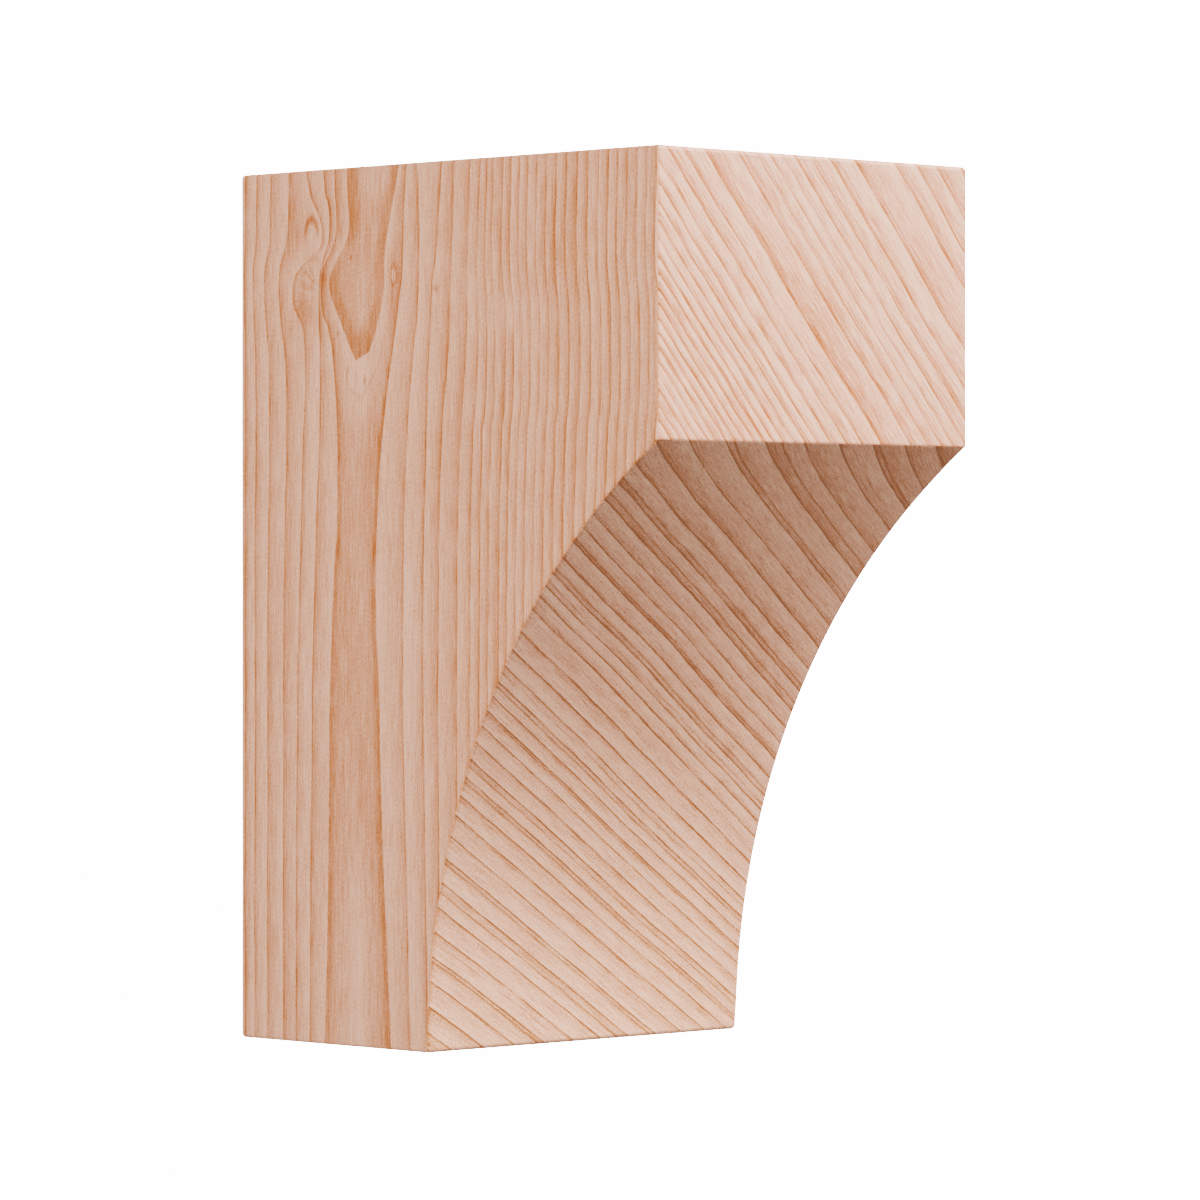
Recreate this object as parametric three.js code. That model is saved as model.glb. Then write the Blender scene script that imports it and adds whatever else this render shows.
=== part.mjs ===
import * as THREE from 'three';

// Wood corbel: one solid block of softwood that fixes to a wall and carries a load on its flat top.
// Its lower front is cut away by a single concave sweep, from the nose down to the foot.
// Millimetres, +Z up. The origin is the centre of the wall face and +Y points into the wall, so the
// corbel reaches out along -Y.

// Driving dimensions
const WIDTH = 139.7; // across the front, along X
const PROJECTION = 190.5; // from the wall face to the front face, along Y
const HEIGHT = 279.4; // from the underside of the foot to the top, along Z
const NOSE_HEIGHT = 88.9; // upright front face above the scoop
const FOOT_DEPTH = 88.9; // flat underside between the wall face and the scoop
const EDGE_RADIUS = 1.5; // sanded rounding where a side meets the rest

// The corners of the side outline are slightly rounder than the edges, so that the rounded edge
// still turns smoothly about each corner.
const CORNER_RADIUS = 1.2 * EDGE_RADIUS;

// Facets along each round stretch
const SCOOP_FACETS = 48;
const CORNER_FACETS = 4;
const EDGE_FACETS = 3;

const WOOD = { color: 0xd9b59c, roughness: 0.6, metalness: 0 };

// The side outline lies in a plane whose first axis is +Y and whose second axis is +Z.
const TOP = HEIGHT / 2;
const UNDERSIDE = -HEIGHT / 2;
const FRONT = -PROJECTION;

// The scoop is one circular arc. It ends upright at the foot, so its centre is level with the
// underside, and its radius follows from how far it runs and drops.
const SCOOP_RUN = PROJECTION - FOOT_DEPTH;
const SCOOP_DROP = HEIGHT - NOSE_HEIGHT;
const SCOOP_RADIUS = (SCOOP_RUN ** 2 + SCOOP_DROP ** 2) / (2 * SCOOP_RUN);
const SCOOP_CENTRE = new THREE.Vector2(-FOOT_DEPTH - SCOOP_RADIUS, UNDERSIDE);

function arcPoints(centre, radius, startAngle, endAngle, facets, clockwise = false) {
  const arc = new THREE.EllipseCurve(centre.x, centre.y, radius, radius, startAngle, endAngle, clockwise);
  return arc.getPoints(facets);
}

function squareCorner(centre, startAngle) {
  return arcPoints(centre, CORNER_RADIUS, startAngle, startAngle + Math.PI / 2, CORNER_FACETS);
}

// Direction from the centre of a rounded corner to the centre of the scoop, as an angle from 0 to a
// full turn. The corner and the scoop touch on this line.
function angleToScoopCentre(cornerCentre) {
  return SCOOP_CENTRE.clone().sub(cornerCentre).angle();
}

function sideOutline() {
  const reach = SCOOP_RADIUS + CORNER_RADIUS;

  const noseY = FRONT + CORNER_RADIUS;
  const noseZ = SCOOP_CENTRE.y + Math.sqrt(reach ** 2 - (noseY - SCOOP_CENTRE.x) ** 2);
  const nose = new THREE.Vector2(noseY, noseZ);

  const footZ = UNDERSIDE + CORNER_RADIUS;
  const footY = SCOOP_CENTRE.x + Math.sqrt(reach ** 2 - (footZ - SCOOP_CENTRE.y) ** 2);
  const foot = new THREE.Vector2(footY, footZ);

  const noseTouch = angleToScoopCentre(nose);
  const footTouch = angleToScoopCentre(foot);
  const scoop = arcPoints(
    SCOOP_CENTRE, SCOOP_RADIUS, noseTouch - Math.PI, footTouch - Math.PI, SCOOP_FACETS, true,
  );

  return [
    ...squareCorner(new THREE.Vector2(-CORNER_RADIUS, UNDERSIDE + CORNER_RADIUS), -Math.PI / 2),
    ...squareCorner(new THREE.Vector2(-CORNER_RADIUS, TOP - CORNER_RADIUS), 0),
    ...squareCorner(new THREE.Vector2(FRONT + CORNER_RADIUS, TOP - CORNER_RADIUS), Math.PI / 2),
    ...arcPoints(nose, CORNER_RADIUS, Math.PI, noseTouch, CORNER_FACETS),
    ...scoop.slice(1, -1),
    ...arcPoints(foot, CORNER_RADIUS, footTouch, 1.5 * Math.PI, CORNER_FACETS),
  ];
}

function corbelGeometry() {
  const geometry = new THREE.ExtrudeGeometry(new THREE.Shape(sideOutline()), {
    depth: WIDTH - 2 * EDGE_RADIUS,
    steps: 1,
    bevelEnabled: true,
    bevelThickness: EDGE_RADIUS,
    bevelSize: EDGE_RADIUS,
    bevelOffset: -EDGE_RADIUS,
    bevelSegments: EDGE_FACETS,
  });
  geometry.translate(0, 0, EDGE_RADIUS - WIDTH / 2);

  // The outline's axes become +Y and +Z, and the extrusion runs along +X.
  const outlineToCorbel = new THREE.Matrix4().makeBasis(
    new THREE.Vector3(0, 1, 0),
    new THREE.Vector3(0, 0, 1),
    new THREE.Vector3(1, 0, 0),
  );
  geometry.applyMatrix4(outlineToCorbel);
  return geometry;
}

const corbel = new THREE.Mesh(corbelGeometry(), new THREE.MeshStandardMaterial(WOOD));
corbel.name = 'corbel';

const part = new THREE.Group();
part.name = 'wood_corbel';
part.add(corbel);

export default part;
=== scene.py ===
import math

import bpy
from mathutils import Matrix, Vector, noise


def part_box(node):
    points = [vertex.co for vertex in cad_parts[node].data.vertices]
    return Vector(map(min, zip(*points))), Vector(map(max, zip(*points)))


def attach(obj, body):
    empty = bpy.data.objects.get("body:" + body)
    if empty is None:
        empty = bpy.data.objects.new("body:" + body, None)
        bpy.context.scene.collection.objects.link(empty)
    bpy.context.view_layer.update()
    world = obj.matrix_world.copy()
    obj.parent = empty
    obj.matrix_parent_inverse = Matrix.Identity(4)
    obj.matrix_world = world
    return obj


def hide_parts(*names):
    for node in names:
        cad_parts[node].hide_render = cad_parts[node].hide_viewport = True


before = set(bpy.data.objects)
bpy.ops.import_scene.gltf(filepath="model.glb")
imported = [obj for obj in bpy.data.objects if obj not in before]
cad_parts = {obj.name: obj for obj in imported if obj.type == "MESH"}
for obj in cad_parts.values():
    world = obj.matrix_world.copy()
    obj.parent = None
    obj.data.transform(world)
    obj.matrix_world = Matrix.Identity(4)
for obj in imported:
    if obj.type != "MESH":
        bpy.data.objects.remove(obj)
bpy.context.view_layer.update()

# Sizes in metres. The block's own size is read from the frame.
BLOCK_LOW, BLOCK_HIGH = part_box("corbel")
WIDTH = BLOCK_HIGH[0] - BLOCK_LOW[0]
PROJECTION = BLOCK_HIGH[1] - BLOCK_LOW[1]
HEIGHT = BLOCK_HIGH[2] - BLOCK_LOW[2]
NOSE_HEIGHT = 0.0889
FOOT_DEPTH = 0.0889
EDGE_RADIUS = 0.0015
EDGE_RADIUS_VARIES = 0.1
EDGE_WEAR_LENGTH = 0.018
SCOOP_EDGE_RADIUS = 0.0006
SCOOP_EDGE_BLEND = 0.012
GRID_STEP = 0.0026

SCOOP_RUN = PROJECTION - FOOT_DEPTH
SCOOP_DROP = HEIGHT - NOSE_HEIGHT
SCOOP_RADIUS = (SCOOP_RUN ** 2 + SCOOP_DROP ** 2) / (2 * SCOOP_RUN)
SCOOP_Y = -FOOT_DEPTH - SCOOP_RADIUS
SCOOP_Z = -HEIGHT / 2
SCOOP_START = math.asin(SCOOP_DROP / SCOOP_RADIUS)
SCOOP_LENGTH = SCOOP_RADIUS * SCOOP_START

MM = 1000.0

# Faces of the block, in the order of their material slots
LEFT, RIGHT, FRONT, SCOOP, TOP, BOTTOM, BACK = range(7)


# The block as a grid of points over its sharp form, eased at the edges

EASING_ANGLES = (45.0, 33.75, 22.5, 11.25, 0.0)


def easing_steps(radius):
    """Distances from a sharp edge that spread evenly over its rounding."""
    return [radius * (1 - math.tan(math.radians(angle))) for angle in EASING_ANGLES]


def eased_positions(length):
    """Distances from one edge of a face to the other, closer together near both."""
    near = easing_steps(EDGE_RADIUS)
    flat = length - 2 * EDGE_RADIUS
    count = round(flat / GRID_STEP)
    middle = [EDGE_RADIUS + flat * k / count for k in range(1, count)]
    return near + middle + [length - step for step in reversed(near)]


class Row:
    """One level line of the grid: where it meets the front or scoop, and how steep the front is there."""

    def __init__(self, down, y, z, slope):
        self.down = down
        self.y = y
        self.z = z
        self.slope = slope


def front_rows():
    """Rows down the upright front and then down the scoop. down is the length along the surface."""
    rows = [Row(d, -PROJECTION, HEIGHT / 2 - d, 1.0) for d in eased_positions(NOSE_HEIGHT)]
    for along in eased_positions(SCOOP_LENGTH)[1:]:
        angle = SCOOP_START - along / SCOOP_RADIUS
        y = SCOOP_Y + SCOOP_RADIUS * math.cos(angle)
        z = SCOOP_Z + SCOOP_RADIUS * math.sin(angle)
        rows.append(Row(NOSE_HEIGHT + along, y, z, math.cos(angle)))
    return rows


ROWS = front_rows()
NOSE_ROW = len(eased_positions(NOSE_HEIGHT)) - 1
LAYERS = eased_positions(WIDTH)
NEAR_STEPS = easing_steps(EDGE_RADIUS)
MIDDLE_COLUMNS = round((PROJECTION - 2 * EDGE_RADIUS) / GRID_STEP)
COLUMN_COUNT = 2 * len(NEAR_STEPS) + MIDDLE_COLUMNS - 1


def depth_from_wall(column, row):
    """How far a grid point stands out from the wall face, on its row."""
    reach = -row.y
    if column < len(NEAR_STEPS):
        return NEAR_STEPS[column]
    from_front = COLUMN_COUNT - 1 - column
    if from_front < len(NEAR_STEPS):
        return reach - NEAR_STEPS[from_front] / row.slope
    start = EDGE_RADIUS
    end = reach - EDGE_RADIUS / row.slope
    return start + (end - start) * (column - len(NEAR_STEPS) + 1) / MIDDLE_COLUMNS


def sharp_point(column, row_index, layer):
    row = ROWS[row_index]
    return Vector((LAYERS[layer] - WIDTH / 2, -depth_from_wall(column, row), row.z))


def clamp(value, low, high):
    return min(max(value, low), high)


def core_outline_point(y, z, radius):
    """The nearest point, in side view, of the outline drawn one edge radius inside the block."""
    y_in = clamp(y, -PROJECTION + radius, -radius)
    z_in = clamp(z, -HEIGHT / 2 + radius, HEIGHT / 2 - radius)
    reach = SCOOP_RADIUS + radius
    if math.hypot(y_in - SCOOP_Y, z_in - SCOOP_Z) >= reach:
        return y_in, z_in
    distance = math.hypot(y - SCOOP_Y, z - SCOOP_Z)
    y_arc = SCOOP_Y + (y - SCOOP_Y) * reach / distance
    z_arc = SCOOP_Z + (z - SCOOP_Z) * reach / distance
    if y_arc < -PROJECTION + radius:
        y_nose = -PROJECTION + radius
        return y_nose, SCOOP_Z + math.sqrt(reach ** 2 - (y_nose - SCOOP_Y) ** 2)
    if z_arc < -HEIGHT / 2 + radius:
        return SCOOP_Y + math.sqrt(reach ** 2 - radius ** 2), -HEIGHT / 2 + radius
    return y_arc, z_arc


def nearness_to_scoop(sharp):
    """1 on the scoop, falling to 0 a little way from it and from its ends."""
    beyond = math.hypot(sharp.y - SCOOP_Y, sharp.z - SCOOP_Z) - SCOOP_RADIUS
    nose_z = HEIGHT / 2 - NOSE_HEIGHT
    closeness = 1 - clamp(beyond / SCOOP_EDGE_BLEND, 0, 1)
    from_ends = clamp(min(nose_z - sharp.z, sharp.z + HEIGHT / 2) / SCOOP_EDGE_BLEND, 0, 1)
    share = closeness * from_ends
    return share * share * (3 - 2 * share)


def eased_point(sharp):
    """The grid point moved onto the rounded block, and the surface normal there."""
    wear = noise.noise(sharp / EDGE_WEAR_LENGTH)
    radius = EDGE_RADIUS * (1 + EDGE_RADIUS_VARIES * wear)
    radius -= (radius - SCOOP_EDGE_RADIUS) * nearness_to_scoop(sharp)
    x_in = clamp(sharp.x, -WIDTH / 2 + radius, WIDTH / 2 - radius)
    y_in, z_in = core_outline_point(sharp.y, sharp.z, radius)
    core = Vector((x_in, y_in, z_in))
    normal = (sharp - core).normalized()
    return core + normal * radius, normal


def grid_faces():
    """Every quad of the block's surface: its face, its four grid corners, outward."""
    last_column = COLUMN_COUNT - 1
    last_row = len(ROWS) - 1
    last_layer = len(LAYERS) - 1
    for row in range(last_row):
        for column in range(last_column):
            ring = [(column, row), (column, row + 1), (column + 1, row + 1), (column + 1, row)]
            yield LEFT, [(c, r, 0) for c, r in ring]
            yield RIGHT, [(c, r, last_layer) for c, r in reversed(ring)]
    for row in range(last_row):
        for layer in range(last_layer):
            ring = [(row, layer), (row + 1, layer), (row + 1, layer + 1), (row, layer + 1)]
            yield FRONT if row < NOSE_ROW else SCOOP, [(last_column, r, k) for r, k in ring]
            yield BACK, [(0, r, k) for r, k in reversed(ring)]
    for column in range(last_column):
        for layer in range(last_layer):
            ring = [(column, layer), (column + 1, layer), (column + 1, layer + 1), (column, layer + 1)]
            yield TOP, [(c, 0, k) for c, k in ring]
            yield BOTTOM, [(c, last_row, k) for c, k in reversed(ring)]


# Where each face lies on the square texture map: its left and top in map pixels, map pixels per
# millimetre, and whether across and down are swapped. The scoop runs on from the front.
MAP_SIZE = 1024
MAP_ISLANDS = {
    LEFT: (4, 4, 2.4, False),
    FRONT: (469, 4, 2.4, False),
    SCOOP: (469, 4, 2.4, False),
    RIGHT: (4, 684, 1.6, True),
    TOP: (460, 766, 1.6, True),
    BACK: (812, 4, 1.48, False),
    BOTTOM: (812, 426, 1.48, False),
}


def face_position(face, corner):
    """Across and down on the flattened face, in millimetres, from the sharp grid."""
    column, row_index, layer = corner
    row = ROWS[row_index]
    across_block = LAYERS[layer] * MM
    from_wall = depth_from_wall(column, row) * MM
    if face in (LEFT, RIGHT):
        return from_wall, (HEIGHT / 2 - row.z) * MM
    if face in (FRONT, SCOOP):
        return across_block, row.down * MM
    if face == BACK:
        return across_block, (HEIGHT / 2 - row.z) * MM
    return across_block, from_wall


def map_position(face, corner):
    across, down = face_position(face, corner)
    left, top, scale, swapped = MAP_ISLANDS[face]
    if swapped:
        across, down = down, across
    return (left + across * scale) / MAP_SIZE, 1 - (top + down * scale) / MAP_SIZE


def add_object(name, data):
    made = bpy.data.objects.new(name, data)
    bpy.context.scene.collection.objects.link(made)
    return made


def build_block():
    index_of = {}
    points = []
    normals = []
    quads = []
    slots = []
    map_points = []
    for face, corners in grid_faces():
        quad = []
        for corner in corners:
            if corner not in index_of:
                index_of[corner] = len(points)
                point, normal = eased_point(sharp_point(*corner))
                points.append(point)
                normals.append(normal)
            quad.append(index_of[corner])
            map_points.append(map_position(face, corner))
        quads.append(quad)
        slots.append(face)
    mesh = bpy.data.meshes.new("corbel_block")
    mesh.from_pydata(points, [], quads)
    mesh.polygons.foreach_set("material_index", slots)
    mesh.polygons.foreach_set("use_smooth", [True] * len(quads))
    uv = mesh.uv_layers.new(name="OFBake")
    uv.data.foreach_set("uv", [value for pair in map_points for value in pair])
    mesh.normals_split_custom_set_from_vertices(normals)
    mesh.update()
    return add_object("corbel_block", mesh)


# Arithmetic on values that vary over a surface: each operation adds a shader node

RIPPLE_GAIN = 4.0


class Field:
    """The output of a shader node, used like a number."""

    def __init__(self, tree, socket):
        self.tree = tree
        self.socket = socket

    def __add__(self, other):
        return calculate("ADD", self, other)

    def __radd__(self, other):
        return calculate("ADD", other, self)

    def __sub__(self, other):
        return calculate("SUBTRACT", self, other)

    def __rsub__(self, other):
        return calculate("SUBTRACT", other, self)

    def __mul__(self, other):
        return calculate("MULTIPLY", self, other)

    def __rmul__(self, other):
        return calculate("MULTIPLY", other, self)

    def __truediv__(self, other):
        return calculate("DIVIDE", self, other)

    def __rtruediv__(self, other):
        return calculate("DIVIDE", other, self)

    def __neg__(self):
        return calculate("MULTIPLY", self, -1.0)


def tree_of(*values):
    return next(value.tree for value in values if isinstance(value, Field))


def feed(tree, value, socket):
    if isinstance(value, Field):
        tree.links.new(value.socket, socket)
    else:
        socket.default_value = value


def calculate(operation, *values):
    tree = tree_of(*values)
    node = tree.nodes.new("ShaderNodeMath")
    node.operation = operation
    for socket, value in zip(node.inputs, values):
        feed(tree, value, socket)
    return Field(tree, node.outputs[0])


def root(value):
    return calculate("SQRT", value)


def whole(value):
    return calculate("FLOOR", value)


def size_of(value):
    return calculate("ABSOLUTE", value)


def larger(a, b):
    return calculate("MAXIMUM", a, b)


def smaller(a, b):
    return calculate("MINIMUM", a, b)


def clip(value, low, high):
    return smaller(larger(value, low), high)


def share_between(value, start, end):
    return clip((value - start) / (end - start), 0.0, 1.0)


def fading(value):
    """1 where the value is 0, falling by a factor e for each unit."""
    return calculate("EXPONENT", -value)


def hump(value, middle, half_width):
    """A smooth bell that is 1 where the value is at the middle."""
    scaled = (value - middle) / half_width
    return fading(scaled * scaled)


def spot(u, w, centre, half_size, strength=1.0):
    """A round or oval bell on a face."""
    return hump(u, centre[0], half_size[0]) * hump(w, centre[1], half_size[1]) * strength


def spots(u, w, rows):
    """The sum of several spots, each row a centre, a half size and a strength."""
    return sum(spot(u, w, *row) for row in rows)


def rising(value, start, end):
    """0 up to start, then smoothly up to 1 at end."""
    tree = tree_of(value)
    node = tree.nodes.new("ShaderNodeMapRange")
    node.interpolation_type = "SMOOTHSTEP"
    feed(tree, value, node.inputs["Value"])
    feed(tree, start, node.inputs["From Min"])
    feed(tree, end, node.inputs["From Max"])
    return Field(tree, node.outputs["Result"])


def blend(a, b, share):
    return a + (b - a) * share


def curve(value, points):
    """A smooth curve through (value, result) points."""
    tree = tree_of(value)
    node = tree.nodes.new("ShaderNodeFloatCurve")
    first, last = points[0][0], points[-1][0]
    lowest = min(y for _, y in points)
    highest = max(y for _, y in points)
    line = node.mapping.curves[0]
    ready_points = len(line.points)
    for place, (x, y) in enumerate(points):
        where = ((x - first) / (last - first), (y - lowest) / (highest - lowest))
        if place < ready_points:
            line.points[place].location = where
        else:
            line.points.new(*where)
    node.mapping.update()
    feed(tree, (value - first) / (last - first), node.inputs["Value"])
    return Field(tree, node.outputs["Value"]) * (highest - lowest) + lowest


def vector(tree, *values):
    node = tree.nodes.new("ShaderNodeCombineXYZ")
    for socket, value in zip(node.inputs, values):
        feed(tree, value, socket)
    return node.outputs["Vector"]


def ripple(across, along, seed, detail=1.0):
    """Smooth random values, mostly between -1 and 1, that change over about one unit.

    A length divided by a size gives patches of about that size. More detail adds finer changes.
    """
    tree = tree_of(across, along)
    node = tree.nodes.new("ShaderNodeTexNoise")
    node.inputs["Scale"].default_value = 1.0
    node.inputs["Detail"].default_value = detail
    tree.links.new(vector(tree, across, along, seed), node.inputs["Vector"])
    return (Field(tree, node.outputs["Fac"]) - 0.5) * RIPPLE_GAIN


def chance(value, seed):
    """A random number from 0 to 1 for each whole value."""
    tree = tree_of(value)
    node = tree.nodes.new("ShaderNodeTexWhiteNoise")
    node.noise_dimensions = "2D"
    tree.links.new(vector(tree, value, seed, 0.0), node.inputs["Vector"])
    return Field(tree, node.outputs["Value"])


class Place:
    """Where a point lies on the block, in millimetres."""

    def __init__(self, tree):
        source = tree.nodes.new("ShaderNodeTexCoord")
        parts = tree.nodes.new("ShaderNodeSeparateXYZ")
        tree.links.new(source.outputs["Object"], parts.inputs[0])
        x, y, z = (Field(tree, socket) * MM for socket in parts.outputs)
        self.across = x + WIDTH * MM / 2
        self.from_wall = -y
        self.down = HEIGHT * MM / 2 - z
        self.y = y
        self.z = z

    def from_scoop(self):
        """How far the point lies inside the block from the scoop's surface."""
        y, z = self.y - SCOOP_Y * MM, self.z - SCOOP_Z * MM
        return root(y * y + z * z) - SCOOP_RADIUS * MM

    def down_the_scoop(self):
        """Length along the scoop from the nose."""
        angle = calculate("ARCTAN2", self.z - SCOOP_Z * MM, self.y - SCOOP_Y * MM)
        return (SCOOP_START - angle) * (SCOOP_RADIUS * MM)


# Growth rings. A ring number is whole on each dark line and grows away from the tree's heart.

FIRST_RING = 20.0

# A dark line ends this far outside its darkest place, in millimetres. Wear differs from ring to ring.
LINE_FALL = 0.3
WEAR_STEP_PER_RING = 7.3

# Tones of a ring, and how its parts are laid out. A share is of the ring's width, and a width is in
# millimetres. The dark late wood lies before the dark line, and some rings have a second, fainter line
# there, which comes in as their random number passes from the first chance to the second.
PALE_TONE = 0.07
PALE_TONE_VARIES = 0.10
TONE_RISE = 0.18
LATE_WOOD_SHARE = 0.10
LATE_WOOD_SHARE_VARIES = 0.22
LATE_WOOD_EXTRA_WIDTH = 0.15
LATE_WOOD_STRENGTH = 0.75
LATE_WOOD_STRENGTH_VARIES = 0.7
SECOND_LINE_SHARE = 0.15
SECOND_LINE_SHARE_VARIES = 0.3
SECOND_LINE_HALF_WIDTH = 0.3
SECOND_LINE_STRENGTH = 0.5
SECOND_LINE_CHANCE = (0.55, 0.8)


def ring_tone(ring, ring_width, across, along, seed, darkness=0.48, line=0.30, line_width=0.4, fade=1.0,
              jitter=0.14, pits=0.0, strokes=0.0):
    """How dark the wood is: a slow rise over each ring to a thin dark line, then pale again.

    Widths are in millimetres. The dark wood fades towards the heart and stops abruptly outside.
    Jitter roughens the lines. Pits are specks of open grain, strokes are short dark fibres, and both
    gather in the dark wood. Each random pattern has its own seed, counted on from the face's.
    """
    grain = ripple(across / 0.4, along / 3.0, seed + 1.0, detail=3.0)
    streak = ripple(across / 0.8, along / 22.0, seed + 4.0, detail=2.0)
    ring = ring + grain * jitter / ring_width
    number = whole(ring)
    part = ring - number
    to_line = (1.0 - part) * ring_width - LINE_FALL
    past_line = larger(-to_line / LINE_FALL, 0.0)
    to_line = larger(to_line, 0.0)
    wear = ripple(number * WEAR_STEP_PER_RING, along / 14.0, seed + 2.0, detail=3.0)
    thin_line = fading(to_line / line_width + past_line)
    thin_line = thin_line * clip(0.8 + 0.5 * wear + 0.3 * streak, 0.05, 1.4)

    zone = ring_width * (LATE_WOOD_SHARE + LATE_WOOD_SHARE_VARIES * chance(number, seed + 5.0))
    zone = (zone + LATE_WOOD_EXTRA_WIDTH) * fade
    late_wood = fading(to_line / zone + past_line)
    strength = LATE_WOOD_STRENGTH + LATE_WOOD_STRENGTH_VARIES * (chance(number, seed + 9.0) - 0.5)
    late_wood = late_wood * clip(strength + 0.25 * wear + 0.35 * streak, 0.1, 1.4)

    offset = ring_width * (SECOND_LINE_SHARE + SECOND_LINE_SHARE_VARIES * chance(number, seed + 14.0))
    second_line = SECOND_LINE_STRENGTH * hump(to_line, offset, SECOND_LINE_HALF_WIDTH)
    second_line = second_line * rising(chance(number, seed + 15.0) + 0.12 * wear, *SECOND_LINE_CHANCE)

    pale_wood = PALE_TONE + PALE_TONE_VARIES * chance(number, seed + 12.0)
    pale_wood = pale_wood + TONE_RISE * rising(part, -0.1, 0.9)
    tone = pale_wood + late_wood * darkness + (thin_line + second_line) * line
    if pits or strokes:
        patches = rising(ripple(across / 9.0, along / 14.0, seed + 31.0), 0.0, 0.8)
        pit = rising(ripple(across / 0.45, along / 0.7, seed + 30.0), 0.7, 1.1)
        stroke = rising(ripple(across / 0.35, along / 3.5, seed + 32.0), 0.6, 1.0)
        tone = tone + (pit * pits + stroke * strokes) * (0.2 + late_wood + 0.3 * patches)
    return tone


def fibre_tone(across, along, seed, strength=1.0, fuzziness=0.18):
    """Fine streaks along the grain, a little fuzz and broad clouds."""
    streak = ripple(across / 1.0, along / 30.0, seed + 20.0, detail=2.0)
    thread = ripple(across / 0.45, along / 9.0, seed + 21.0)
    fuzz = ripple(across / 0.5, along / 0.9, seed + 22.0)
    cloud = ripple(across / 6.0, along / 60.0, seed + 23.0)
    return (streak * 0.09 + thread * 0.18 + cloud * 0.06) * strength + fuzz * fuzziness


# The left side: long grain with a broad central band, a pointed inner ring above it, and a knot.
# Each path gives how far a growth line stands from the wall, at a few depths below the top. The four
# lines to the left and to the right of the band are numbered from the band outwards.

LEFT_LINES = (
    ((0, 45.3), (8, 45.7), (18, 46.3), (24, 45.2), (30, 41.5), (38, 39.2), (50, 42.4), (60, 44.8),
     (76, 46.3), (92, 47.0), (130, 45.2), (170, 43.4), (230, 42.4), (280, 40.6)),
    ((0, 40.0), (8, 41.0), (18, 43.1), (24, 42.3), (31, 39.4), (41, 38.1), (60, 38.7), (76, 38.6),
     (110, 36.8), (170, 34.8), (280, 33.4)),
    ((0, 31.9), (9, 34.4), (16, 38.4), (22, 39.6), (27, 36.0), (32, 28.6), (39, 25.6), (46, 27.6),
     (54, 31.0), (68, 31.5), (90, 30.2), (130, 28.8), (170, 27.6), (280, 26.8)),
    ((0, 23.6), (14, 23.3), (22, 22.5), (29, 19.8), (37, 18.6), (44, 19.1), (53, 20.5), (63, 22.0),
     (80, 22.4), (110, 21.6), (170, 20.8), (280, 20.8)),
)
RIGHT_LINES = (
    ((0, 79.3), (17, 78.1), (33, 77.4), (43, 75.8), (57, 73.2), (71, 70.4), (90, 67.4), (110, 65.6),
     (130, 64.9), (170, 66.7), (210, 67.9), (250, 70.1), (280, 71.9)),
    ((0, 83.2), (27, 85.1), (43, 84.6), (57, 82.7), (77, 80.4), (110, 78.3), (150, 77.8), (230, 79.4),
     (280, 81.0)),
    ((0, 95.6), (30, 92.7), (38, 91.2), (87, 88.4), (130, 87.2), (170, 87.3), (280, 89.2)),
    ((0, 101.4), (37, 99.5), (57, 98.6), (87, 95.4), (120, 94.3), (280, 94.9)),
)
POINT_LEFT = ((0, 51.5), (12, 51.9), (19, 52.4), (24, 50.6), (31, 45.6), (37, 43.3), (40, 44.0),
              (47, 47.5), (56, 52.4), (63, 56.5), (72, 61.0))
POINT_RIGHT = ((0, 75.7), (8, 74.0), (17, 71.5), (27, 69.4), (40, 68.6), (50, 66.0), (59, 61.9),
               (63, 59.5), (72, 54.0))

# The point's blunt tip: how far down it is cut off at one distance from the wall, and how that falls
BLUNT_TIP = 61.3
BLUNT_TIP_FROM_WALL = 56.0
BLUNT_TIP_SLOPE = 0.4

# Below the tip the rings open again into the band
RINGS_OPEN_BELOW = 61.0
RINGS_OPENING = 0.62

# Rings beyond the fourth lines. On the left they are counted by the share of the way to the wall, and
# on the right by the distance in millimetres. The lean moves the right ones towards the front, at a few
# depths below the top, and is measured from where they stand beyond a straight fourth line.
FAR_LEFT_RINGS = ((0, 0), (0.37, 1), (0.665, 2), (0.90, 3), (1.2, 4))
FAR_RIGHT_RINGS = ((0, 0), (8.6, 1), (14.6, 2), (19.0, 3), (22.8, 4), (27.6, 5), (31.2, 6), (35.0, 7),
                   (38.8, 8), (47.0, 10), (55.8, 12), (65.2, 14), (78.0, 17), (102.0, 23))
FAR_RIGHT_LEAN = ((0, 2.4), (15, 2.0), (27, 1.5), (40, 2.2), (55, 3.4), (70, 3.3), (85, 1.9), (100, 1.1),
                  (115, 0.5), (280, 0.3))
FOURTH_RIGHT_LINE = 93.4
LEAN_BUILDS_OVER = 22.0

# Ring widths by distance from the wall
LEFT_RING_WIDTHS = ((0, 6.3), (23, 7.5), (55, 15.0), (80, 10.0), (105, 5.5), (130, 4.1), (200, 4.1))
NARROWEST_RING = 2.0

# Extra darkness of the first two left lines and the first right one: all along, near the top, beside
# the knot and low down. The second right line is darker in its upper part alone.
STRONG_LINES = ((0.30, 0.20, 0.25, 0.18), (0.12, 0.35, 0.25, 0.0), (0.34, 0.14, 0.15, 0.18))
SECOND_RIGHT_LINE = 0.2
SHADE_REACH = 2.2

# Where the strength of lines changes: start and end of a rise, or middle and half width of a hump
NEAR_TOP_ENDS = (14.0, 34.0)
UPPER_PART_ENDS = (40.0, 90.0)
BESIDE_KNOT = (46.0, 12.0)
LOW_DOWN_BEGINS = (110.0, 180.0)
NEAR_FRONT_BEGINS = (85.0, 108.0)

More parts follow.
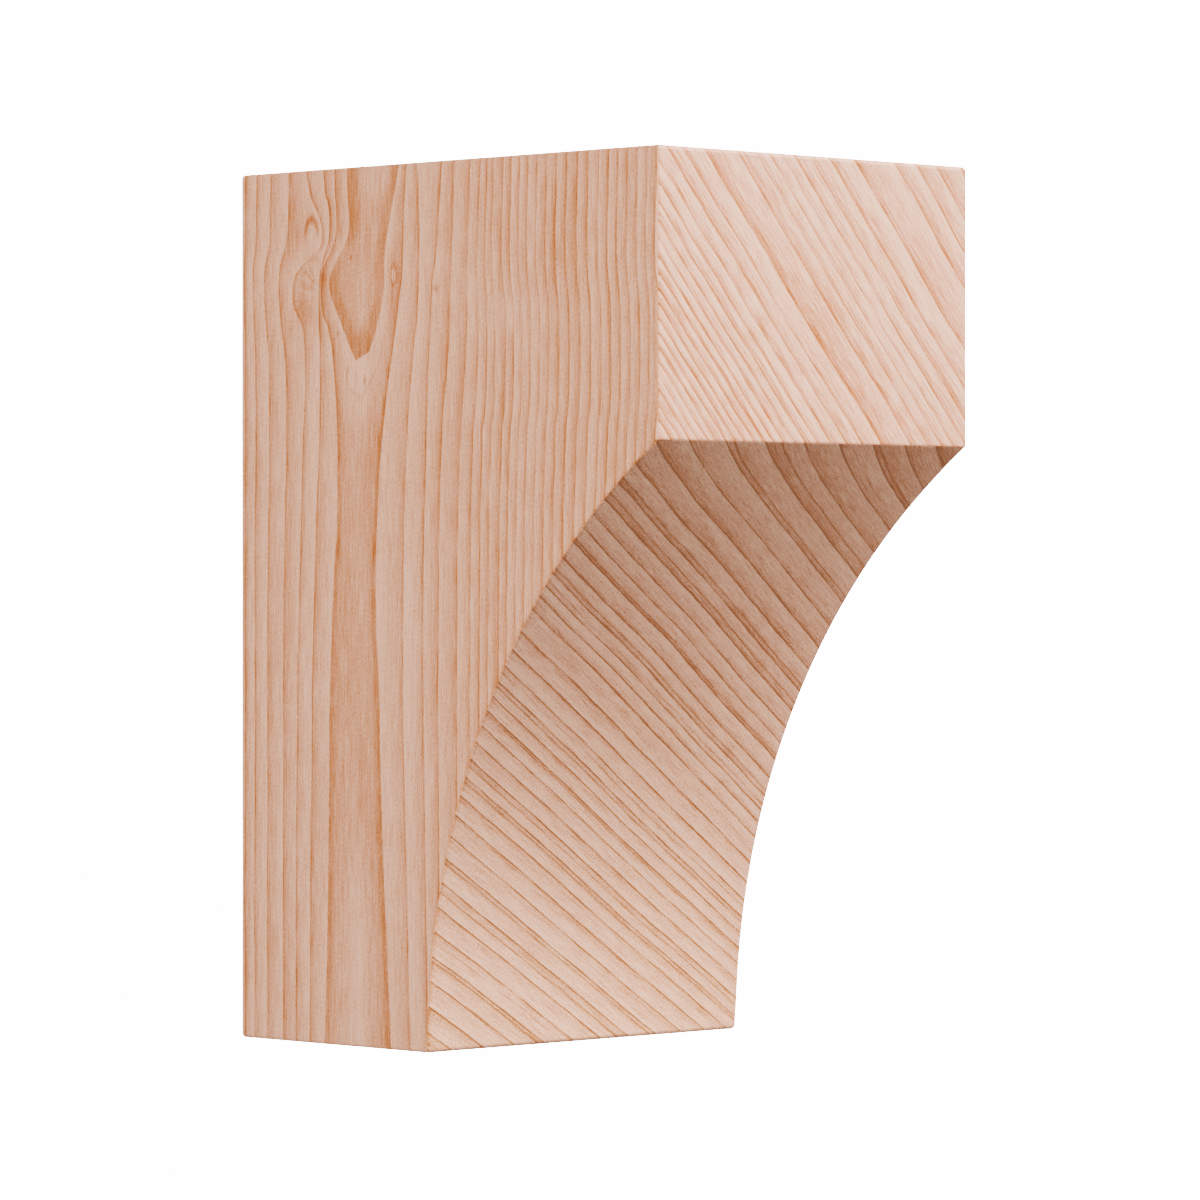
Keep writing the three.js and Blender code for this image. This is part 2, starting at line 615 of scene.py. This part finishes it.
# The even band: where it begins, how far in from its edges, and the pale arch low in its middle
BAND_BEGINS = (74.0, 98.0)
BAND_MARGIN = (0.4, 3.4)
BAND_TONE = 0.48
LOW_ARCH_BEGINS = (205.0, 245.0)
LOW_ARCH_FROM_WALL = 55.5
LOW_ARCH_HALF_WIDTH = 7.0

# The point: where its soft edge lies, how wide its dark margins are, where the left one is broken, and
# where the dark tip begins
POINT_EDGE = (-0.3, 0.2)
LEFT_MARGIN = (3.0, 6.4)
RIGHT_MARGIN = (2.6, 5.6)
MARGIN_GAP = (27.5, 5.5)
MARGIN_DARKENS = (30.0, 36.0)
DARK_TIP_BEGINS = (47.0, 57.0)
POINT_TONE = 0.52
MARGIN_TONE = 0.86


class LeftSide:
    """The growth lines of the left side, as seen from any point on it."""

    def __init__(self, place):
        u, w = place.from_wall, place.down
        long_wave = ripple(u / 60.0, w / 70.0, seed=3.0) * 0.25
        short_wave = ripple(u / 12.0, w / 22.0, seed=4.0) * 0.12
        self.u = u + long_wave + short_wave
        self.w = w
        self.left = [curve(w, path) for path in LEFT_LINES]
        self.right = [curve(w, path) for path in RIGHT_LINES]
        self.past_left_edge = self.u - curve(w, POINT_LEFT)
        self.before_right_edge = curve(w, POINT_RIGHT) - self.u
        blunt_end = BLUNT_TIP - BLUNT_TIP_SLOPE * (self.u - BLUNT_TIP_FROM_WALL) - w
        self.in_point = smaller(smaller(self.past_left_edge, self.before_right_edge), blunt_end)
        self.in_band = larger(smaller(self.u - self.left[0], self.right[0] - self.u), 0.0)

    def ring(self):
        """The ring number, which grows from the central band towards both sides."""
        u, w, left, right = self.u, self.w, self.left, self.right
        count = curve(larger(1.0 - u / left[3], 0.0), FAR_LEFT_RINGS)
        lean = curve(w, FAR_RIGHT_LEAN) - (right[3] - FOURTH_RIGHT_LINE)
        beyond = larger(u - right[3], 0.0)
        beyond = beyond - lean * rising(beyond, 0.0, LEAN_BUILDS_OVER)
        count = count + curve(beyond, FAR_RIGHT_RINGS)
        for lines in (left, right):
            for inner, outer in zip(lines, lines[1:]):
                count = count + share_between(u, inner, outer)

        below_tip = larger(w - RINGS_OPEN_BELOW, 0.0)
        past_point = larger(larger(-self.in_point, 0.0), below_tip * RINGS_OPENING)
        opening = self.in_band / (self.in_band + past_point + 0.01)
        return count - opening + FIRST_RING

    def ring_width(self):
        u, left = self.u, self.left
        width = curve(u, LEFT_RING_WIDTHS)
        for inner, outer in zip(left, left[1:]):
            beyond_outer = calculate("GREATER_THAN", u, outer)
            before_inner = calculate("LESS_THAN", u, inner)
            width = blend(width, inner - outer, beyond_outer * before_inner)
        return larger(width, NARROWEST_RING)

    def strong_lines(self):
        """Extra darkness inside the lines that stand out."""
        w = self.w
        near_top = 1.0 - rising(w, *NEAR_TOP_ENDS)
        by_knot = hump(w, *BESIDE_KNOT)
        low_down = rising(w, *LOW_DOWN_BEGINS)
        upper_part = 1.0 - rising(w, *UPPER_PART_ENDS)
        tone = shaded_edge(self.right[1] - self.u, SECOND_RIGHT_LINE * upper_part)
        distances = (self.u - self.left[0], self.u - self.left[1], self.right[0] - self.u)
        for inward, (all_along, at_top, at_knot, at_foot) in zip(distances, STRONG_LINES):
            strength = all_along + at_top * near_top + at_knot * by_knot + at_foot * low_down
            tone = tone + shaded_edge(inward, strength)
        return tone

    def band_tone(self):
        """The central band below the point: even, with streaks, and paler in the middle near the foot."""
        u, w = self.u, self.w
        streak = ripple(u / 1.2, w / 30.0, seed=321.0, detail=3.0)
        low_arch = rising(w + streak * 6.0, *LOW_ARCH_BEGINS)
        low_arch = low_arch * hump(u, LOW_ARCH_FROM_WALL, LOW_ARCH_HALF_WIDTH)
        return BAND_TONE + 0.08 * streak - 0.30 * low_arch

    def point_tone(self):
        """The pointed inner ring: dark margins with a ragged inner side, paler in the middle."""
        u, w = self.u, self.w
        streak = ripple(u / 0.9, w / 11.0, seed=311.0, detail=3.0)
        left_margin = 1.0 - rising(self.past_left_edge + streak * 1.8, *LEFT_MARGIN)
        gap = 0.85 * hump(w, *MARGIN_GAP)
        left_margin = left_margin * (1.0 - gap + 0.12 * rising(w, *MARGIN_DARKENS))
        right_margin = (1.0 - rising(self.before_right_edge + streak * 1.8, *RIGHT_MARGIN)) * 0.8
        tip = rising(w + streak * 3.0, *DARK_TIP_BEGINS)
        margin = larger(larger(left_margin, right_margin), tip)
        return blend(POINT_TONE - spots(u, w, PALE_IN_POINT), MARGIN_TONE, margin) + 0.12 * streak


def shaded_edge(inward, strength):
    """Dark just inside a line, fading inward, with nothing outside it."""
    return strength * rising(inward, -LINE_FALL, LINE_FALL) * fading(larger(inward, 0.0) / SHADE_REACH)


# The small ring above the knot, the knot, a pin knot and dark flecks: centre and half size
EYE = ((34.6, 21.3), (2.8, 5.2))
KNOT = ((33.4, 35.0), (4.8, 4.6))
KNOT_RAYS_FROM = (39.0, 39.5)
PIN_KNOT = ((73.2, 35.0), (1.35, 3.2))

# Their parts, by the distance from a centre that is 1 on the oval: the dark arch over the small ring,
# its pale inside, the edge of the knot, and the dark ring and the pale middle of the pin knot
EYE_ARCH = (1.05, 0.26)
EYE_INSIDE = (0.7, 1.0)
KNOT_EDGE = (0.75, 1.05)
PIN_RING = (1.0, 0.22)
PIN_MIDDLE = (0.5, 0.9)

# The arch fades out between these depths below the top
EYE_ARCH_ENDS = (17.5, 24.0)
FLECKS = (((92.6, 40.0), (1.1, 1.1)), ((47.3, 52.6), (0.5, 1.0)), ((59.8, 68.0), (0.6, 1.3)),
          ((52.0, 64.3), (0.35, 1.1)), ((53.3, 28.8), (0.5, 1.0)), ((37.0, 70.5), (0.5, 0.6)))

# Patches of the left side: centre, half size and strength
DARK_BY_KNOTS = (((40.6, 35.2), (1.9, 3.4), 0.40), ((31.0, 45.0), (4.8, 6.0), 0.40),
                 ((35.0, 28.6), (3.0, 0.9), 0.22), ((73.0, 38.0), (2.6, 9.0), 0.30))
PALE_ABOVE_KNOT = ((29.5, 28.5), (4.0, 4.0), 0.06)
PALE_IN_POINT = (((58.0, 40.0), (4.0, 9.0), 0.16), ((64.0, 2.0), (7.0, 9.0), 0.26))
PALE_UNDER_POINT = ((58.0, 70.0), (7.0, 9.0), 0.12)
DARK_STREAKS = (((29.0, 14.0), (3.0, 14.0), 0.10), ((37.3, 7.0), (2.2, 9.0), 0.16),
                ((152.0, 28.0), (10.0, 22.0), 0.10), ((145.0, 33.0), (1.6, 14.0), 0.18))

# Patches where the lines are faint: centre, half size and strength, and how dark the wood is there
FAINT_NEAR_FRONT = (((124.0, 48.5), (20.0, 8.0), 0.7), ((110.0, 39.0), (9.0, 12.0), 0.6))
FAINT_NEAR_FRONT_TONE = 0.22
FAINT_BY_EYE = ((34.0, 27.3), (5.0, 3.4), 0.85)
FAINT_BY_EYE_TONE = 0.28

# Darker edges: distance of their middle from the edge, half width and strength
WALL_EDGE = (0.8, 0.9, 0.12)
SIDE_SCOOP_EDGE = (0.2, 0.7, 0.25)
SCOOP_LEFT_EDGE = (0.3, 0.9, 0.32)


def oval(u, w, centre, half_size):
    """Distance from the centre, 1 on an oval."""
    across = (u - centre[0]) / half_size[0]
    down = (w - centre[1]) / half_size[1]
    return root(across * across + down * down)


def knot_tone(u, w):
    """Darker and paler patches of the knot and its neighbours, to add to the rings."""
    rough = ripple(u / 1.3, w / 1.3, seed=301.0, detail=2.0)
    eye = oval(u, w, *EYE)
    arch = hump(eye, *EYE_ARCH) * (1.0 - rising(w, *EYE_ARCH_ENDS)) * 0.75
    tone = arch - 0.05 * (1.0 - rising(eye, *EYE_INSIDE))

    core = oval(u, w, *KNOT) + rough * 0.12
    in_core = 1.0 - rising(core, *KNOT_EDGE)
    turn = calculate("ARCTAN2", w - KNOT_RAYS_FROM[1], u - KNOT_RAYS_FROM[0])
    rays = ripple(turn * 5.0, core / 1.2, seed=303.0, detail=2.0)
    swirl = ripple(u / 1.6, w / 0.9, seed=305.0, detail=2.0)
    tone = tone + in_core * (rays * 0.32 + swirl * 0.18 + 0.12)

    tone = tone + spots(u, w, DARK_BY_KNOTS) * (1.0 + 0.4 * rough) - spot(u, w, *PALE_ABOVE_KNOT)

    pin = oval(u, w, *PIN_KNOT)
    tone = tone + hump(pin, *PIN_RING) * 0.3 - 0.28 * (1.0 - rising(pin, *PIN_MIDDLE))
    for fleck in FLECKS:
        tone = tone + spot(u, w, *fleck) * (0.5 + 0.15 * rough)
    return tone


def dark_edge(from_edge, middle, half_width, strength):
    return strength * hump(from_edge, middle, half_width)


def left_side_tone(place):
    """The rings, which are fainter near the front, with the band, the point, the knots and the edges."""
    u, w = place.from_wall, place.down
    side = LeftSide(place)
    near_front = rising(u, *NEAR_FRONT_BEGINS)
    tone = ring_tone(side.ring(), side.ring_width(), u, w, seed=11.0, darkness=0.47 - 0.08 * near_front,
                     line=0.38 - 0.14 * near_front, line_width=0.33)
    in_band = rising(w, *BAND_BEGINS) * rising(side.in_band, *BAND_MARGIN)
    tone = blend(tone, side.band_tone(), in_band)
    tone = tone + side.strong_lines() + 0.085 * near_front
    faint = 0.0
    for patch in FAINT_NEAR_FRONT:
        faint = larger(faint, spot(u, w, *patch))
    tone = blend(tone, FAINT_NEAR_FRONT_TONE, faint)
    tone = blend(tone, FAINT_BY_EYE_TONE, spot(u, w, *FAINT_BY_EYE))
    tone = tone - spot(u, w, *PALE_UNDER_POINT) + spots(u, w, DARK_STREAKS)
    tone = blend(tone, side.point_tone(), rising(side.in_point, *POINT_EDGE))
    edges = dark_edge(u, *WALL_EDGE) + dark_edge(place.from_scoop(), *SIDE_SCOOP_EDGE)
    fibres = fibre_tone(u, w, seed=31.0, strength=1.3, fuzziness=0.22)
    return tone + knot_tone(u, w) + fibres + edges


# Scoop and front: slanting rings. On the scoop, ring numbers and widths go by how far down a line
# crosses its middle. On the front they go by the distance from the lower left corner, square to the
# lines.

SCOOP_SLANT = math.radians(31.7)
SCOOP_LINE_SLOPE = 0.615
SCOOP_LINE_BEND = 0.00025
SCOOP_NOSE_BEND = 5.3
SCOOP_NOSE_BEND_REACH = 16.0
SCOOP_RINGS = ((-60, -7.5), (9, 0), (30, 2), (48, 4), (72, 7), (90, 10), (103, 12), (118.5, 15.2),
               (121, 15.5), (123.5, 15.2), (138, 13), (165, 8), (190, 4), (220, 0), (285, -8))
SCOOP_RING_WIDTHS = ((-60, 9), (20, 11.5), (50, 8.5), (75, 6.5), (100, 5.5), (112, 4.4), (130, 5.3),
                     (165, 6.0), (190, 7.8), (285, 8))
SCOOP_MIDDLE = 70.0
SCOOP_LOWER_PART = (50.0, 150.0)
# Painted shade on the scoop: where it rises near the foot, and how far down it fades from under the nose
SCOOP_PAINTED_SHADE_NEAR_FOOT = (170.0, 225.0)
SCOOP_PAINTED_SHADE_REACH = 50.0


def scoop_tone(place):
    """Slanting lines, steeper near the nose, with painted shade under the nose and near the foot, and
    darker along the left edge.
    """
    v, s = place.across, place.down_the_scoop()
    aside = v - SCOOP_MIDDLE
    level = s - aside * (SCOOP_LINE_SLOPE + SCOOP_LINE_BEND * aside)
    level = level + SCOOP_NOSE_BEND * fading(larger(s, 0.0) / SCOOP_NOSE_BEND_REACH)
    long_wave = ripple(v / 60.0, s / 60.0, seed=41.0) * 0.5
    short_wave = ripple(v / 16.0, s / 16.0, seed=43.0) * 0.14
    level = level + long_wave + short_wave
    ring = curve(level, SCOOP_RINGS) + FIRST_RING
    ring_width = curve(level, SCOOP_RING_WIDTHS) * math.cos(SCOOP_SLANT)
    across = level * math.cos(SCOOP_SLANT)
    along = v * math.cos(SCOOP_SLANT) + s * math.sin(SCOOP_SLANT)
    lower = rising(s, *SCOOP_LOWER_PART)
    tone = ring_tone(ring, ring_width, across, along, seed=51.0, darkness=0.45 - 0.14 * lower, line=1.15,
                     line_width=0.16, fade=1.25 - 0.35 * lower, jitter=0.10, pits=1.2 * lower,
                     strokes=1.4 - 0.8 * lower)
    # Painted shade: darker under the nose, more so to the right, fading down the scoop, and a little
    # darker near the foot
    painted_shade_under_nose = (0.38 + 0.0015 * aside) * fading(larger(s, 0.0) / SCOOP_PAINTED_SHADE_REACH)
    painted_shade_near_foot = 0.08 * rising(s, *SCOOP_PAINTED_SHADE_NEAR_FOOT)
    left_edge = dark_edge(v, *SCOOP_LEFT_EDGE)
    fibres = fibre_tone(across, along, seed=61.0, strength=1.5, fuzziness=0.30)
    return tone + fibres + painted_shade_under_nose + painted_shade_near_foot + left_edge - 0.05


FRONT_SLANT = math.radians(48.0)
FRONT_RINGS = ((-8, 34), (0, 31.3), (47.8, 16), (61.7, 13), (73.7, 11), (84.1, 10), (108.2, 5), (123.1, 3),
               (136.6, 2), (151.2, 0), (170, -2))
FRONT_RING_WIDTHS = ((0, 2.9), (47, 3.2), (73, 6.0), (110, 6.0), (140, 9.0), (170, 8.0))
FRONT_RINGS_WIDEN = (30.0, 90.0)


def front_tone(place):
    """Slanting lines, close and thin at the lower left and wide apart at the upper right."""
    v, up = place.across, NOSE_HEIGHT * MM - place.down
    long_wave = ripple(v / 60.0, up / 60.0, seed=71.0) * 0.7
    short_wave = ripple(v / 18.0, up / 18.0, seed=72.0) * 0.15
    across = v * math.sin(FRONT_SLANT) + up * math.cos(FRONT_SLANT) + long_wave + short_wave
    along = v * math.cos(FRONT_SLANT) - up * math.sin(FRONT_SLANT)
    ring = curve(across, FRONT_RINGS) + FIRST_RING
    ring_width = curve(across, FRONT_RING_WIDTHS)
    lower_left = 1.0 - rising(across, *FRONT_RINGS_WIDEN)
    tone = ring_tone(ring, ring_width, across, along, seed=81.0, darkness=0.45, line=0.37,
                     fade=1.15 - 0.15 * lower_left, jitter=0.05, pits=0.12)
    return tone + fibre_tone(across, along, seed=91.0, strength=2.0, fuzziness=0.20) - 0.01


# Hidden faces, plainer. The heart of the tree is given on the end grain, from the left side and from
# the wall. The arches of the long grain are centred on the right side and on the back.

HEART = (30.0, 55.0)
RIGHT_ARCHES_FROM_WALL = 92.0
BACK_ARCHES_FROM_LEFT = 58.0
HIDDEN_RING_WIDTH = 4.3
END_GRAIN_DARKER = 0.12
DEGREES_PER_RADIAN = 57.3


def hidden_ring(from_heart):
    """Rings of about one width, some wider and some narrower."""
    return from_heart / HIDDEN_RING_WIDTH + 0.9 * ripple(from_heart / 17.0, from_heart / 60.0, seed=7.0)


def long_grain_tone(offset, depth, w, seed):
    """Long grain on a face that passes the heart at a depth, offset from it sideways."""
    depth = depth + ripple(offset / 110.0, w / 190.0, seed + 3.0) * 4.5 + 0.05 * w
    offset = offset + ripple(offset / 50.0, w / 110.0, seed + 4.0) * 1.6
    from_heart = root(offset * offset + depth * depth)
    ring = hidden_ring(from_heart)
    slope = larger(size_of(offset) / from_heart, 0.25)
    tone = ring_tone(ring, HIDDEN_RING_WIDTH / slope, offset, w, seed)
    return tone + fibre_tone(offset, w, seed + 20.0)


def right_side_tone(place):
    offset = place.from_wall - RIGHT_ARCHES_FROM_WALL
    return long_grain_tone(offset, WIDTH * MM - HEART[0], place.down, seed=101.0)


def back_tone(place):
    offset = place.across - BACK_ARCHES_FROM_LEFT
    return long_grain_tone(offset, HEART[1], place.down, seed=131.0)


def end_grain_tone(place, seed):
    """Rings round the heart, with faint rays."""
    u = place.from_wall - HEART[1]
    v = place.across - HEART[0]
    u = u + ripple(place.from_wall / 40.0, place.across / 40.0, seed + 3.0) * 1.6
    from_heart = root(u * u + v * v)
    ring = hidden_ring(from_heart)
    turn = calculate("ARCTAN2", v, u) * DEGREES_PER_RADIAN
    tone = ring_tone(ring, HIDDEN_RING_WIDTH, from_heart, turn, seed)
    rays = ripple(turn * 0.8, from_heart / 8.0, seed + 7.0)
    fuzz = ripple(place.from_wall / 0.4, place.across / 0.4, seed + 8.0)
    return tone + END_GRAIN_DARKER + rays * 0.04 + fuzz * 0.04


def top_tone(place):
    return end_grain_tone(place, seed=161.0)


def bottom_tone(place):
    return end_grain_tone(place, seed=191.0)


# Wood surface. Each colour ramp gives the base colour for a few tones, from pale to dark.

WOOD_ROUGHNESS = 0.62
DARK_WOOD_SMOOTHER = 0.1
WOOD_SPECULAR = 0.35
BUMP_STRENGTH = 0.35
BUMP_HEIGHT = 0.0002

PALE_WOOD = (
    (0.0, (0.678, 0.400, 0.320)),
    (0.15, (0.645, 0.364, 0.286)),
    (0.3, (0.614, 0.331, 0.252)),
)
LONG_GRAIN = PALE_WOOD + (
    (0.45, (0.584, 0.296, 0.220)),
    (0.6, (0.558, 0.261, 0.184)),
    (0.8, (0.525, 0.219, 0.137)),
    (1.0, (0.490, 0.180, 0.090)),
    (1.3, (0.420, 0.130, 0.050)),
)
FRONT_GRAIN = PALE_WOOD + (
    (0.45, (0.584, 0.286, 0.220)),
    (0.6, (0.558, 0.249, 0.184)),
    (0.8, (0.525, 0.207, 0.137)),
    (1.0, (0.490, 0.168, 0.092)),
    (1.3, (0.420, 0.125, 0.060)),
)
CUT_GRAIN = PALE_WOOD + (
    (0.45, (0.578, 0.296, 0.220)),
    (0.6, (0.536, 0.260, 0.184)),
    (0.8, (0.480, 0.214, 0.137)),
    (1.0, (0.425, 0.170, 0.090)),
    (1.3, (0.330, 0.122, 0.055)),
)


def wood_material(name, tone_of, colours):
    material = bpy.data.materials.new(name)
    material.use_nodes = True
    tree = material.node_tree
    tree.nodes.clear()
    tone = tone_of(Place(tree))
    darkest = colours[-1][0]

    ramp = tree.nodes.new("ShaderNodeValToRGB")
    ramp.color_ramp.interpolation = "LINEAR"
    stops = ramp.color_ramp.elements
    while len(stops) < len(colours):
        stops.new(0.5)
    for stop, (position, colour) in zip(stops, colours):
        stop.position = position / darkest
        stop.color = (*colour, 1.0)
    feed(tree, tone / darkest, ramp.inputs["Fac"])

    shader = tree.nodes.new("ShaderNodeBsdfPrincipled")
    shader.inputs["Specular IOR Level"].default_value = WOOD_SPECULAR
    tree.links.new(ramp.outputs["Color"], shader.inputs["Base Color"])
    feed(tree, WOOD_ROUGHNESS - DARK_WOOD_SMOOTHER * tone, shader.inputs["Roughness"])

    bump = tree.nodes.new("ShaderNodeBump")
    bump.inputs["Strength"].default_value = BUMP_STRENGTH
    bump.inputs["Distance"].default_value = BUMP_HEIGHT
    feed(tree, -tone, bump.inputs["Height"])
    tree.links.new(bump.outputs["Normal"], shader.inputs["Normal"])

    output = tree.nodes.new("ShaderNodeOutputMaterial")
    tree.links.new(shader.outputs[0], output.inputs["Surface"])
    return material


# One material for each face, in the order of the material slots
FACE_WOODS = (
    ("wood_left", left_side_tone, LONG_GRAIN),
    ("wood_right", right_side_tone, LONG_GRAIN),
    ("wood_front", front_tone, FRONT_GRAIN),
    ("wood_scoop", scoop_tone, CUT_GRAIN),
    ("wood_top", top_tone, CUT_GRAIN),
    ("wood_bottom", bottom_tone, CUT_GRAIN),
    ("wood_back", back_tone, LONG_GRAIN),
)

block = build_block()
for name, tone_of, colours in FACE_WOODS:
    block.data.materials.append(wood_material(name, tone_of, colours))
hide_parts("corbel")
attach(block, "root")


# Camera. The frame is 1200 pixels square. Distances are in metres, from the nose's upright edge on
# the left and from the top of the block.

FRAME_PIXELS = 1200
FOCAL_PIXELS = 5784.0
HORIZON_PIXEL = 576.4
CAMERA_TURN = math.radians(44.75)
NEAR_EDGE_DISTANCE = 1.739
NEAR_EDGE_OFFSET = 0.0175
CAMERA_BELOW_TOP = 0.130
SENSOR = 36.0


def add_camera():
    right = Vector((math.cos(CAMERA_TURN), -math.sin(CAMERA_TURN), 0))
    ahead = Vector((math.sin(CAMERA_TURN), math.cos(CAMERA_TURN), 0))
    near_edge = Vector((-WIDTH / 2, -PROJECTION, HEIGHT / 2 - CAMERA_BELOW_TOP))
    position = near_edge - right * NEAR_EDGE_OFFSET - ahead * NEAR_EDGE_DISTANCE
    dip = math.atan((FRAME_PIXELS / 2 - HORIZON_PIXEL) / FOCAL_PIXELS)
    camera = bpy.data.cameras.new("camera")
    camera.sensor_width = SENSOR
    camera.lens = SENSOR * FOCAL_PIXELS / FRAME_PIXELS
    holder = add_object("camera", camera)
    up = Vector((0, 0, 1))
    level = Matrix((right, up, -ahead)).transposed().to_4x4()
    holder.matrix_world = Matrix.Translation(position) @ level @ Matrix.Rotation(-dip, 4, "X")
    bpy.context.scene.camera = holder


add_camera()


# Studio. The world lights the block faintly and is bright only where the camera sees it.

FLOOR_DROP = 1.6
FLOOR_SIZE = 6.0
FLOOR_COLOUR = (0.565, 0.59, 0.54)
FLOOR_ROUGHNESS = 0.9
WORLD_LIGHT = 0.08
WORLD_SEEN = 10.0

# Square light panels: direction from the block, power in watts and colour
PANEL_DISTANCE = 3.4
PANEL_SIZE = 2.2
WHITE = (1.0, 1.0, 1.0)
PANELS = (
    ("key", (0.439, -0.627, 0.643), 193.0, (1.0, 0.970, 0.985)),
    ("side_fill", (-0.852, -0.397, 0.342), 124.0, WHITE),
    ("back_fill", (0.42, 0.88, 0.20), 85.0, WHITE),
)


def add_floor():
    mesh = bpy.data.meshes.new("floor")
    half = FLOOR_SIZE / 2
    z = -HEIGHT / 2 - FLOOR_DROP
    corners = [(-half, -half, z), (half, -half, z), (half, half, z), (-half, half, z)]
    mesh.from_pydata(corners, [], [(0, 1, 2, 3)])
    floor = add_object("floor", mesh)
    material = bpy.data.materials.new("pale_floor")
    material.use_nodes = True
    shader = material.node_tree.nodes["Principled BSDF"]
    shader.inputs["Base Color"].default_value = (*FLOOR_COLOUR, 1)
    shader.inputs["Roughness"].default_value = FLOOR_ROUGHNESS
    mesh.materials.append(material)


def add_world():
    world = bpy.data.worlds.new("studio")
    world.use_nodes = True
    tree = world.node_tree
    background = tree.nodes["Background"]
    background.inputs["Color"].default_value = (*WHITE, 1)
    ray = tree.nodes.new("ShaderNodeLightPath")
    seen = Field(tree, ray.outputs["Is Camera Ray"])
    feed(tree, WORLD_LIGHT + seen * (WORLD_SEEN - WORLD_LIGHT), background.inputs["Strength"])
    bpy.context.scene.world = world


def add_panel(name, direction, power, colour):
    """A light panel that faces the middle of the block."""
    light = bpy.data.lights.new(name, "AREA")
    light.shape = "SQUARE"
    light.size = PANEL_SIZE
    light.energy = power
    light.color = colour
    panel = add_object(name, light)
    target = Vector((0, -PROJECTION / 2, 0))
    away = Vector(direction).normalized()
    panel.location = target + away * PANEL_DISTANCE
    panel.rotation_euler = away.to_track_quat("Z", "Y").to_euler()


add_floor()
add_world()
for panel in PANELS:
    add_panel(*panel)

view = bpy.context.scene.view_settings
view.view_transform = "Filmic"
view.look = "Very High Contrast"
view.exposure = 0.0
view.gamma = 1.0
